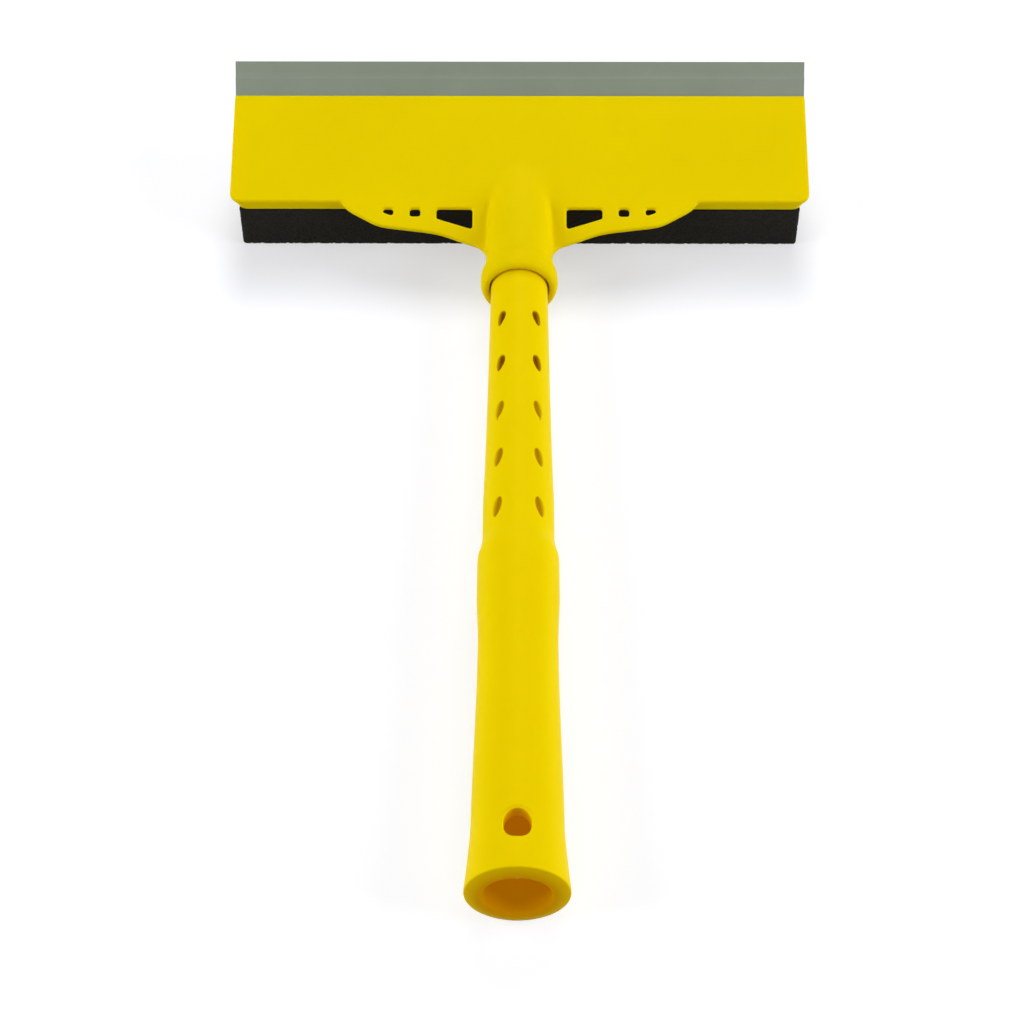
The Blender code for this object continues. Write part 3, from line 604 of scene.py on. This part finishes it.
# %% Recess tree, where a point lies
tree, given, result = new_tree("teardrop_recesses", [
    "Rim", "Axis height", "Pitch", "Pairs", "Deep pairs", "First size", "Length", "Width", "Depth",
    "Shallow share", "Angle", "Slant", "Nose", "Tail", "Wall radius", "Grip start",
    "Bore radius", "Wall edge", "End", "Face edge", "Hole", "Hole edge",
    "Hole depth", "Material"])
g = given.outputs
place = add(tree, "ShaderNodeSeparateXYZ", {0: add(tree, "GeometryNodeInputPosition")}).outputs
up = add(tree, "ShaderNodeMath", {0: place["Z"], 1: g["Axis height"]}, operation="SUBTRACT")
spoke = add(tree, "ShaderNodeCombineXYZ", {"X": place["X"], "Z": up})
radius = add(tree, "ShaderNodeVectorMath", {0: spoke}, operation="LENGTH").outputs["Value"]
side = add(tree, "ShaderNodeMath", {0: place["X"]}, operation="ABSOLUTE")
turn = add(tree, "ShaderNodeMath", {0: side, 1: up}, operation="ARCTAN2")
off_line = add(tree, "ShaderNodeMath", {0: turn, 1: g["Angle"]}, operation="SUBTRACT")
around = add(tree, "ShaderNodeMath", {0: off_line, 1: radius}, operation="MULTIPLY")

back = add(tree, "ShaderNodeMath", {0: g["Rim"], 1: place["Y"]}, operation="SUBTRACT")
steps = add(tree, "ShaderNodeMath", {0: back, 1: g["Pitch"]}, operation="DIVIDE")
whole = add(tree, "ShaderNodeMath", {0: steps}, operation="ROUND")
rank = add(tree, "ShaderNodeClamp", {"Value": whole, "Min": 1.0, "Max": g["Pairs"]})
middle = add(tree, "ShaderNodeMath", {0: rank, 1: g["Pitch"]}, operation="MULTIPLY")
along = add(tree, "ShaderNodeMath", {0: back, 1: middle}, operation="SUBTRACT")

flat = add(tree, "ShaderNodeCombineXYZ", {"X": along, "Y": around})
slanted = add(tree, "ShaderNodeVectorRotate", {"Vector": flat, "Angle": g["Slant"]},
              rotation_type="Z_AXIS", invert=True)
own = add(tree, "ShaderNodeSeparateXYZ", {0: slanted}).outputs
print("Recess tree:", len(tree.nodes), "nodes find the nearest teardrop")

# %% [markdown]
# A teardrop is an oval that is fuller at its nose than at its tail, and its dish is deepest in
# the middle. A low power makes the dish steep at its rim, as a crisp mould does. The two pairs
# nearest the head are deeper and crisper than the others, and all grow a little toward the
# grip.

# %% Recess tree, the dish
DEEP_BOWL, SHALLOW_BOWL = 0.45, 0.9        # powers of the dish
DEEP_LEVEL = 2.0                           # depth of the first pairs, of the input Depth

grown = add(tree, "ShaderNodeMapRange", {"Value": rank, "From Min": 1.0, "From Max": g["Pairs"],
                                         "To Min": g["First size"], "To Max": 1.0})
length = add(tree, "ShaderNodeMath", {0: grown, 1: g["Length"]}, operation="MULTIPLY")
share = add(tree, "ShaderNodeMath", {0: own["X"], 1: length}, operation="DIVIDE")
t = add(tree, "ShaderNodeMath", {0: share, 1: 0.5}, operation="ADD")
rest = add(tree, "ShaderNodeMath", {0: 1.0, 1: t}, operation="SUBTRACT")
product = add(tree, "ShaderNodeMath", {0: t, 1: rest}, operation="MULTIPLY")
inside = add(tree, "ShaderNodeMath", {0: product, 1: 0.0}, operation="MAXIMUM")
oval = add(tree, "ShaderNodeMath", {0: inside}, operation="SQRT")
taper = add(tree, "ShaderNodeMapRange", {"Value": t, "To Min": g["Nose"], "To Max": g["Tail"]})
swell = add(tree, "ShaderNodeMath", {0: oval, 1: taper}, operation="MULTIPLY")
width = add(tree, "ShaderNodeMath", {0: grown, 1: g["Width"]}, operation="MULTIPLY")
half_width = add(tree, "ShaderNodeMath", {0: swell, 1: width}, operation="MULTIPLY")
across = add(tree, "ShaderNodeMath", {0: own["Y"], 1: half_width}, operation="DIVIDE")
square = add(tree, "ShaderNodeMath", {0: across, 1: 2.0}, operation="POWER")
dish = add(tree, "ShaderNodeMath", {0: 1.0, 1: square}, operation="SUBTRACT")
cup = add(tree, "ShaderNodeMath", {0: dish, 1: 0.0}, operation="MAXIMUM")
late = add(tree, "ShaderNodeMath", {0: rank, 1: g["Deep pairs"]}, operation="GREATER_THAN")
crispness = add(tree, "ShaderNodeMapRange", {"Value": late, "To Min": DEEP_BOWL, "To Max": SHALLOW_BOWL})
bowl = add(tree, "ShaderNodeMath", {0: cup, 1: crispness}, operation="POWER")
level = add(tree, "ShaderNodeMapRange",
            {"Value": late, "To Min": DEEP_LEVEL, "To Max": g["Shallow share"]})
on_wall = add(tree, "ShaderNodeMath", {0: radius, 1: g["Wall radius"]}, operation="GREATER_THAN")
deep = add(tree, "ShaderNodeMath", {0: bowl, 1: swell}, operation="MULTIPLY")
deeper = add(tree, "ShaderNodeMath", {0: deep, 1: level}, operation="MULTIPLY")
sunk = add(tree, "ShaderNodeMath", {0: deeper, 1: on_wall}, operation="MULTIPLY")
print("Recess tree:", len(tree.nodes), "nodes with the dish")

# %% [markdown]
# The same tree works out the two tints that the plastic reads, both painted: the orange-brown
# shade of the recesses, and the darker orange shade and glow of the bore. The painted shade of
# a recess grows from its rim inward. The tint of the bore grows from the skin to the inside of
# the wall, and only near the end and the hang hole does it start further out, so the rest of
# the skin stays yellow.

# %% Recess tree, the tints
DEEP_EDGE, SHALLOW_EDGE = 0.25, 0.9        # how far in the tint is full
SHALLOW_PAINTED_SHADE = 0.85
END_ZONE = (2.5 * MM, 0.9 * MM)            # from the end, where the tint spreads to the face
HOLE_ZONE = (7.0 * MM, 5.5 * MM)           # from the hole's middle, likewise

# Painted shade in the recesses: full a little way in from the rim, weaker in the shallow pairs.
edge = add(tree, "ShaderNodeMapRange", {"Value": late, "To Min": DEEP_EDGE, "To Max": SHALLOW_EDGE})
painted_recess_shade = add(tree, "ShaderNodeMapRange", {"Value": cup, "From Max": edge})
strength = add(tree, "ShaderNodeMapRange", {"Value": late, "To Min": 1.0, "To Max": SHALLOW_PAINTED_SHADE})
fading = add(tree, "ShaderNodeMath", {0: painted_recess_shade, 1: strength}, operation="MULTIPLY")
present = add(tree, "ShaderNodeMath", {0: inside, 1: 0.002}, operation="GREATER_THAN")
in_oval = add(tree, "ShaderNodeMath", {0: fading, 1: present}, operation="MULTIPLY")
recess = add(tree, "ShaderNodeMath", {0: in_oval, 1: on_wall}, operation="MULTIPLY")
# Painted shade and glow in the bore: from the skin inward, starting further out near the end and the
# hang hole.
to_end = add(tree, "ShaderNodeMath", {0: g["End"], 1: back}, operation="SUBTRACT")
at_end = add(tree, "ShaderNodeMapRange",
             {"Value": to_end, "From Min": END_ZONE[0], "From Max": END_ZONE[1],
              "To Min": g["Wall edge"], "To Max": g["Face edge"]})
to_hole = add(tree, "ShaderNodeMath", {0: back, 1: g["Hole"]}, operation="SUBTRACT")
off_hole = add(tree, "ShaderNodeCombineXYZ", {"X": place["X"], "Y": to_hole})
distance = add(tree, "ShaderNodeVectorMath", {0: off_hole}, operation="LENGTH").outputs["Value"]
at_hole = add(tree, "ShaderNodeMapRange",
              {"Value": distance, "From Min": HOLE_ZONE[0], "From Max": HOLE_ZONE[1],
               "To Min": g["Wall edge"], "To Max": g["Hole edge"]})
outer = add(tree, "ShaderNodeMath", {0: at_end, 1: at_hole}, operation="MAXIMUM")
full = add(tree, "ShaderNodeMapRange",
           {"Value": distance, "From Min": HOLE_ZONE[0], "From Max": HOLE_ZONE[1],
            "To Min": g["Bore radius"], "To Max": g["Hole depth"]})
in_bore = add(tree, "ShaderNodeMapRange", {"Value": radius, "From Min": outer, "From Max": full})
in_grip = add(tree, "ShaderNodeMath", {0: back, 1: g["Grip start"]}, operation="GREATER_THAN")
bore = add(tree, "ShaderNodeMath", {0: in_bore, 1: in_grip}, operation="MULTIPLY")
print("Recess tree:", len(tree.nodes), "nodes with the tints")

# %% [markdown]
# Last, the tree stores the tints on the points and pushes each point toward the axis by its
# depth. The tree runs once, and the handle is then a plain mesh.

# %% Recess tree, push the points in
marked = add(tree, "GeometryNodeStoreNamedAttribute",
             {"Geometry": g["Geometry"], "Name": "recess", "Value": recess})
marked = add(tree, "GeometryNodeStoreNamedAttribute",
             {"Geometry": marked, "Name": "bore", "Value": bore})
depth = add(tree, "ShaderNodeMath", {0: sunk, 1: g["Depth"]}, operation="MULTIPLY")
part_way = add(tree, "ShaderNodeMath", {0: depth, 1: radius}, operation="DIVIDE")
inward = add(tree, "ShaderNodeMath", {0: part_way, 1: -1.0}, operation="MULTIPLY")
push = add(tree, "ShaderNodeVectorMath", {0: spoke, "Scale": inward}, operation="SCALE")
dished = add(tree, "GeometryNodeSetPosition", {"Geometry": marked, "Offset": push})
real = add(tree, "GeometryNodeRealizeInstances", {"Geometry": dished})
painted = add(tree, "GeometryNodeSetMaterial", {"Geometry": real, "Material": g["Material"]})
tree.links.new(painted.outputs[0], result.inputs[0])

run_tree(handle, tree, {
    "Rim": RIM_Y, "Axis height": AXIS_Z, "Pitch": PITCH, "Pairs": float(PAIRS),
    "Deep pairs": float(DEEP_PAIRS), "First size": 0.82, "Length": RECESS_LENGTH, "Width": RECESS_WIDTH,
    "Depth": RECESS_DEPTH, "Shallow share": 0.85, "Angle": math.radians(36.5),
    "Slant": math.radians(14), "Nose": 1.15, "Tail": 0.80, "Wall radius": 8.7 * MM,
    "Grip start": 118 * MM, "Bore radius": 9.9 * MM, "Wall edge": 11.5 * MM,
    "End": RIM_Y - END_Y, "Face edge": 16.2 * MM, "Hole": RIM_Y - HOLE_Y,
    "Hole edge": HOLE_RADIUS - 0.25 * MM, "Hole depth": HOLE_RADIUS - 0.85 * MM,
    "Material": HANDLE_PLASTIC})
smooth_shading(handle, degrees=48)
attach(handle, "handle")
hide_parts("handle")
report(handle)

# %% [markdown]
# ## The moulded head
# A moulding has no knife edges: its mould is cut with round tools, and the plastic shrinks as
# it cools. A bevel would need clean loops of edges, which a solid joined from many parts does
# not have. So the head's solid is filled with small cubes and skinned again, which gives one
# surface, and smoothing rounds its edges. The dome behind the socket melts into the sloping
# face, so that region is smoothed more. Flat parts are then thinned to fewer triangles.

# %% Head
HEAD_CELL = 0.42 * MM
HEAD_KEPT = 0.42                           # share of the triangles that stays
DOME_LOW, DOME_HIGH = Vector((-17, 107, 16)) * MM, Vector((17, 133, 45)) * MM
BOX_FADE = 2 * MM


def reskinned(node, name, cell, material):
    """A copy of a solid, skinned again as one surface of small even faces."""
    bm = merged(node)
    mesh = bpy.data.meshes.new(name)
    bm.to_mesh(mesh)
    bm.free()
    obj = new_object(name, mesh, material)
    skin = obj.modifiers.new("skin", "REMESH")
    skin.mode = "VOXEL"
    skin.voxel_size = cell
    settle(obj)
    return obj


def soften(obj, passes, low=None, high=None):
    """Smooth a piece, or only what lies in a box that fades out at its borders."""
    group = obj.vertex_groups.new(name="soft")
    for vertex in obj.data.vertices:
        weight = 1.0
        if low is not None:
            margin = min(min(vertex.co[k] - low[k], high[k] - vertex.co[k]) for k in range(3))
            weight = min(max(margin / BOX_FADE, 0.0), 1.0)
        if weight > 0:
            group.add([vertex.index], weight, "REPLACE")
    smooth = obj.modifiers.new("smooth", "SMOOTH")
    smooth.factor = 0.5
    smooth.iterations = passes
    smooth.vertex_group = "soft"
    settle(obj)
    obj.vertex_groups.clear()


def thinned(obj, ratio):
    """Fewer triangles, taken first from where the surface is flat."""
    thin = obj.modifiers.new("thin", "DECIMATE")
    thin.ratio = ratio
    settle(obj)


head = reskinned("head_shell", "moulded_head", HEAD_CELL, HEAD_PLASTIC)
soften(head, passes=3)
soften(head, passes=130, low=DOME_LOW, high=DOME_HIGH)
thinned(head, ratio=HEAD_KEPT)
smooth_shading(head, degrees=60)
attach(head, "head")
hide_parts("head_shell")
report(head)

# %% [markdown]
# ## The rubber blade
# Its section is read from the solid, its corners are rounded a little as a die rounds them,
# and it is drawn along X. A section drawn along one line keeps the long edges straight, as a
# blade needs them. The ends are cut clean, with a very small round edge.

# %% Blade
BLADE_CORNER = 0.22 * MM
CUT_EDGE = 0.10 * MM


def rounded(outline, radius, steps=4):
    """A closed outline with an arc in place of each clear corner."""
    result = []
    count = len(outline)
    for i, point in enumerate(outline):
        before, after = outline[i - 1] - point, outline[(i + 1) % count] - point
        reach = min(radius, 0.4 * before.length, 0.4 * after.length)
        first, last = point + before.normalized() * reach, point + after.normalized() * reach
        for k in range(steps + 1):
            s = k / steps
            result.append(first * (1 - s) ** 2 + point * 2 * s * (1 - s) + last * s * s)
    return result


def shrunk(outline, amount):
    """A closed outline with every point moved inward."""
    area = sum(a.x * b.y - b.x * a.y for a, b in zip(outline, outline[1:] + outline[:1]))
    way = 1 if area > 0 else -1
    result = []
    for i, point in enumerate(outline):
        along = (outline[(i + 1) % len(outline)] - outline[i - 1]).normalized()
        result.append(point + Vector((-along.y, along.x)) * way * amount)
    return result


def blade_mesh():
    cut = corners(slice_outlines("blade", (0, 0, 0), (1, 0, 0))[0])
    outline = rounded([Vector((p.y, p.z)) for p in cut], BLADE_CORNER)
    low, high = (corner.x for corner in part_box("blade"))
    soft = 1 - math.sqrt(0.5)
    stations = [(low, CUT_EDGE), (low + CUT_EDGE * soft, CUT_EDGE * soft), (low + CUT_EDGE, 0.0),
                (high - CUT_EDGE, 0.0), (high - CUT_EDGE * soft, CUT_EDGE * soft), (high, CUT_EDGE)]
    points = [(x, p.x, p.y) for x, inset in stations for p in shrunk(outline, inset)]
    sides = len(outline)
    ends = [tuple(range(sides)), tuple(range(len(points) - sides, len(points)))]
    mesh = bpy.data.meshes.new("rubber_blade")
    mesh.from_pydata(points, [], ends + walls_between(len(stations), sides))
    outward(mesh)
    return mesh


blade = new_object("rubber_blade", blade_mesh(), RUBBER)
smooth_shading(blade, degrees=30)
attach(blade, "blade")
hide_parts("blade")
report(blade)

# %% [markdown]
# ## The foam pad
# Open-cell foam is a net of thin walls round bubbles of gas, and a saw cuts through them. The
# pad's skin is split into small faces, and a Geometry Nodes tree sinks each point by how far
# it lies from the nearest wall of a cell. The walls stay at the full size of the pad, so the
# pad still fills the space of its solid.

# %% Foam
PAD_CELL = 0.48 * MM
PORE_FLOOR = 0.32                          # this far from a wall, in cells, a pore is deepest

tree, given, result = new_tree("foam_pores", ["Cell", "Depth", "Wall share", "Material"])
g = given.outputs
spot = add(tree, "GeometryNodeInputPosition")
often = add(tree, "ShaderNodeMath", {0: 1.0, 1: g["Cell"]}, operation="DIVIDE")
cells = add(tree, "ShaderNodeTexVoronoi", {"Vector": spot, "Scale": often, "Randomness": 1.0},
            feature="DISTANCE_TO_EDGE")
pore = add(tree, "ShaderNodeMapRange",
           {"Value": cells.outputs["Distance"], "From Min": g["Wall share"], "From Max": PORE_FLOOR,
            "To Min": 0.0, "To Max": 1.0}, interpolation_type="SMOOTHSTEP")
sunk = add(tree, "ShaderNodeMath", {0: pore, 1: g["Depth"]}, operation="MULTIPLY")
inward = add(tree, "ShaderNodeMath", {0: sunk, 1: -1.0}, operation="MULTIPLY")
push = add(tree, "ShaderNodeVectorMath",
           {0: add(tree, "GeometryNodeInputNormal"), "Scale": inward}, operation="SCALE")
pitted = add(tree, "GeometryNodeSetPosition", {"Geometry": g["Geometry"], "Offset": push})
real = add(tree, "GeometryNodeRealizeInstances", {"Geometry": pitted})
painted = add(tree, "GeometryNodeSetMaterial", {"Geometry": real, "Material": g["Material"]})
tree.links.new(painted.outputs[0], result.inputs[0])

pad = reskinned("sponge", "foam_pad", PAD_CELL, FOAM)
run_tree(pad, tree, {"Cell": 1.4 * MM, "Depth": 0.3 * MM, "Wall share": 0.05, "Material": FOAM})
smooth_shading(pad, degrees=80)
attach(pad, "head")
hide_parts("sponge")
report(pad)

# %% [markdown]
# ## The sponge plate
# It is a plain moulding, nearly all of it hidden between the face and the pad, so the solid
# itself is kept. It takes its own slightly duller plastic, as an inner part does. The other
# four solids get their materials too, so that each looks right wherever it is shown.

# %% Dress the solids
for node, block in (("head_shell", HEAD_PLASTIC), ("sponge_plate", PLATE_PLASTIC),
                    ("handle", HANDLE_PLASTIC), ("blade", RUBBER), ("sponge", FOAM)):
    nodes[node].data.materials.clear()
    nodes[node].data.materials.append(block)
print("Dressed:", ", ".join(sorted(nodes)))

# %% [markdown]
# ## The floor
# The photograph has a white ground with one wide soft shadow in front of the head. The floor
# is lit like the rest. A ray that comes straight from the camera sees it lifted to white, and
# the real shadow stays on it. In a soft-edged strip in front of the head the lift is smaller,
# which paints a shadow there: the photograph's shadow is grey there from end to end, while all
# round it the ground is clean. Far from the object the floor goes over to plain white, as a
# paper sweep does.

# %% Floor
FLOOR_SIZE = 4.0
FLOOR_LIFT = 0.70
PAINTED_SHADOW_LIFT = 0.515
FLOOR_BOUNCE = (0.62, 0.62, 0.62)
FLOOR_SEEN = (0.39, 0.40, 0.44)
STRIP_REACH, STRIP_FADE = 42 * MM, 27 * MM     # in front of the pad
STRIP_ENDS = (13 * MM, -5 * MM)            # past the pad's ends, where it starts and is full
STRIP_UNDER = 10 * MM                      # behind the pad's front, where it is full
PLAIN_FROM, PLAIN_AT = 0.45, 0.9

floor_mesh = bpy.data.meshes.new("floor")
half = FLOOR_SIZE / 2
floor_mesh.from_pydata([(-half, -half, 0), (half, -half, 0), (half, half, 0), (-half, half, 0)],
                       [], [(0, 1, 2, 3)])
floor_paint = bpy.data.materials.new("white_ground")
floor_paint.use_nodes = True
tree = floor_paint.node_tree
tree.nodes.remove(tree.nodes["Principled BSDF"])
ray = add(tree, "ShaderNodeLightPath").outputs
shiny = add(tree, "ShaderNodeMath",
            {0: ray["Is Glossy Ray"], 1: ray["Is Transmission Ray"]}, operation="MAXIMUM")
seen = add(tree, "ShaderNodeMath", {0: ray["Is Camera Ray"], 1: shiny}, operation="MAXIMUM")
tone = add(tree, "ShaderNodeMix", {0: seen, 6: FLOOR_BOUNCE + (1.0,), 7: FLOOR_SEEN + (1.0,)},
           data_type="RGBA")
matt = add(tree, "ShaderNodeBsdfDiffuse", {"Color": tone.outputs[2]})
place = add(tree, "ShaderNodeTexCoord").outputs["Object"]
away = add(tree, "ShaderNodeVectorMath", {0: place}, operation="LENGTH").outputs["Value"]
spot = add(tree, "ShaderNodeSeparateXYZ", {0: place}).outputs
across = add(tree, "ShaderNodeMath", {0: spot["X"]}, operation="ABSOLUTE")
pad_low, pad_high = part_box("sponge")
# Painted shadow: in a soft-edged strip in front of the head the lift is smaller, so the floor renders
# grey there.
ends = add(tree, "ShaderNodeMapRange",
           {"Value": across, "From Min": pad_high.x + STRIP_ENDS[0],
            "From Max": pad_high.x + STRIP_ENDS[1]}, interpolation_type="SMOOTHSTEP")
front = add(tree, "ShaderNodeMapRange",
            {"Value": spot["Y"], "From Min": pad_low.y - STRIP_REACH,
             "From Max": pad_low.y - STRIP_REACH + STRIP_FADE}, interpolation_type="SMOOTHSTEP")
under = add(tree, "ShaderNodeMapRange",
            {"Value": spot["Y"], "From Min": pad_high.y, "From Max": pad_low.y + STRIP_UNDER})
strip = add(tree, "ShaderNodeMath", {0: ends, 1: front}, operation="MULTIPLY")
strip = add(tree, "ShaderNodeMath", {0: strip, 1: under}, operation="MULTIPLY")
near = add(tree, "ShaderNodeMapRange",
           {"Value": strip, "To Min": FLOOR_LIFT, "To Max": PAINTED_SHADOW_LIFT})
level = add(tree, "ShaderNodeMapRange", {"Value": away, "From Min": PLAIN_FROM, "From Max": PLAIN_AT,
                                         "To Min": near, "To Max": 1.0})
lift = add(tree, "ShaderNodeMath", {0: seen, 1: level}, operation="MULTIPLY")
glow = add(tree, "ShaderNodeEmission", {"Strength": lift})
both = add(tree, "ShaderNodeAddShader", {0: matt, 1: glow})
tree.links.new(both.outputs[0], tree.nodes["Material Output"].inputs["Surface"])
floor = new_object("floor", floor_mesh, floor_paint)
print("Floor:", FLOOR_SIZE, "m wide, shade strip", round(STRIP_REACH / MM), "mm deep")

# %% [markdown]
# ## The lamps and the world
# The photograph is lit like work in a light tent: two big soft lamps at the sides do most of
# it, a smaller share comes from behind the head, and a little from the front fills the end of
# the handle. So the plastic keeps its colour and has hardly a highlight. The world gives
# almost no light, and only the camera and mirror-like rays see it as white.

# %% Lamps and world
LAMPS = (                                  # name, place, width, watts
    ("rear_softbox", (0.12, 1.00, 1.10), 0.8, 7.8),
    ("left_softbox", (-1.3, -0.15, 0.65), 0.9, 15.0),
    ("right_softbox", (1.3, -0.15, 0.65), 0.9, 15.6),
    ("front_softbox", (0.0, -1.20, 1.00), 1.0, 3.2))
WORLD_STRENGTH = 0.02

for name, place, width, watts in LAMPS:
    light = bpy.data.lights.new(name, "AREA")
    light.shape = "SQUARE"
    light.size = width
    light.energy = watts
    lamp = bpy.data.objects.new(name, light)
    bpy.context.scene.collection.objects.link(lamp)
    place = Vector(place)
    lamp.matrix_world = Matrix.Translation(place) @ place.to_track_quat("Z", "Y").to_matrix().to_4x4()

world = bpy.data.worlds.new("studio")
world.use_nodes = True
tree = world.node_tree
ray = add(tree, "ShaderNodeLightPath").outputs
shiny = add(tree, "ShaderNodeMath",
            {0: ray["Is Glossy Ray"], 1: ray["Is Transmission Ray"]}, operation="MAXIMUM")
seen = add(tree, "ShaderNodeMath", {0: ray["Is Camera Ray"], 1: shiny}, operation="MAXIMUM")
strength = add(tree, "ShaderNodeMapRange", {"Value": seen, "To Min": WORLD_STRENGTH, "To Max": 1.0})
tree.nodes["Background"].inputs["Color"].default_value = (1.0, 1.0, 1.0, 1.0)
tree.links.new(strength.outputs[0], tree.nodes["Background"].inputs["Strength"])
bpy.context.scene.world = world
bpy.context.scene.view_settings.view_transform = "Standard"
print("Lamps:", ", ".join(lamp[0] for lamp in LAMPS))
